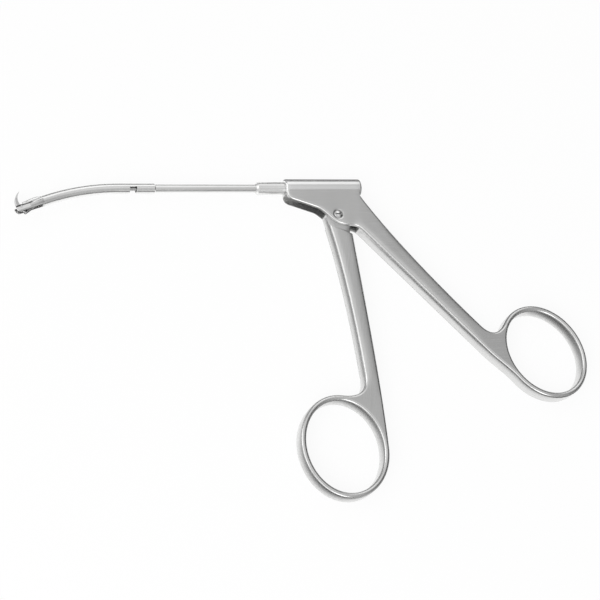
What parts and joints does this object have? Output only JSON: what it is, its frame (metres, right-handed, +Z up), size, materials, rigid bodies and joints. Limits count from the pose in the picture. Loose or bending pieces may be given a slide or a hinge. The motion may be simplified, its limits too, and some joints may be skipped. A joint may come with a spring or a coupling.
{
  "type": "backbiter forceps",
  "caption": "Ring-handled backbiter forceps with a slender curved shaft and a small backward-cutting hook jaw driven through the shaft.",
  "frame": {"origin": "bottom centre of the overall box; Z = 0 is the plane that the instrument lies on", "axes": "+X from the jaw towards the handles along the shaft, +Y from the finger rings towards the barrel, +Z up, along the pivot screw"},
  "size_m": [0.2078, 0.1228, 0.0069],
  "materials": {
    "satin_steel": "satin",
    "polished_steel": "polished",
    "spring_steel": "satin",
    "guide_steel": "satin"
  },
  "bodies": {
    "handle": {"handle_body": "satin_steel", "pivot_screw": "polished_steel", "barrel_end_plug": "polished_steel", "neck_ferrule": "polished_steel", "rod_guide": "guide_steel", "shaft_tube": "polished_steel", "curved_sleeve": "polished_steel", "band_guide": "guide_steel", "jaw_frame": "polished_steel", "jaw_hinge_pin": "polished_steel"},
    "lever": {"front_handle": "satin_steel"},
    "rod": {"drive_rod": "polished_steel", "drive_shoe": "polished_steel", "shoe_lock_nut": "polished_steel", "band_rivet": "polished_steel"},
    "band": {"drive_band": "spring_steel", "link_pin": "polished_steel"},
    "link": {"drive_link": "polished_steel"},
    "jaw": {"back_cutting_jaw": "polished_steel", "crank_pin": "polished_steel"}
  },
  "joints": [
    {"name": "lever_swing", "type": "hinge", "parent": "handle", "child": "lever", "pos_m": [0.0145, 0.04608, 0.00343], "axis": [0, 0, 1], "range_deg": [0, 9.37]},
    {"name": "rod_push", "type": "slide", "parent": "handle", "child": "rod", "axis": [-1, 0, 0], "range_m": [0, 0.00193]},
    {"name": "band_roll", "type": "hinge", "parent": "handle", "child": "band", "pos_m": [-0.0667, -0.02207, 0.00343], "axis": [0, 0, 1], "range_deg": [0, 1.38]},
    {"name": "link_swing", "type": "hinge", "parent": "band", "child": "link", "pos_m": [-0.09558, 0.0526, 0.00343], "axis": [0, 0, -1], "range_deg": [0, 2.32]},
    {"name": "jaw_close", "type": "hinge", "parent": "handle", "child": "jaw", "pos_m": [-0.10201, 0.05038, 0.00343], "axis": [0, 0, -1], "range_deg": [0, 70]}
  ],
  "couplings": [
    {"joint": "rod_push", "follows": "lever_swing", "m_per_rad": 0.011797},
    {"joint": "band_roll", "follows": "lever_swing", "ratio": 0.14747},
    {"joint": "link_swing", "follows": "lever_swing", "ratio": 0.24763},
    {"joint": "jaw_close", "follows": "lever_swing", "ratio": 7.471}
  ]
}
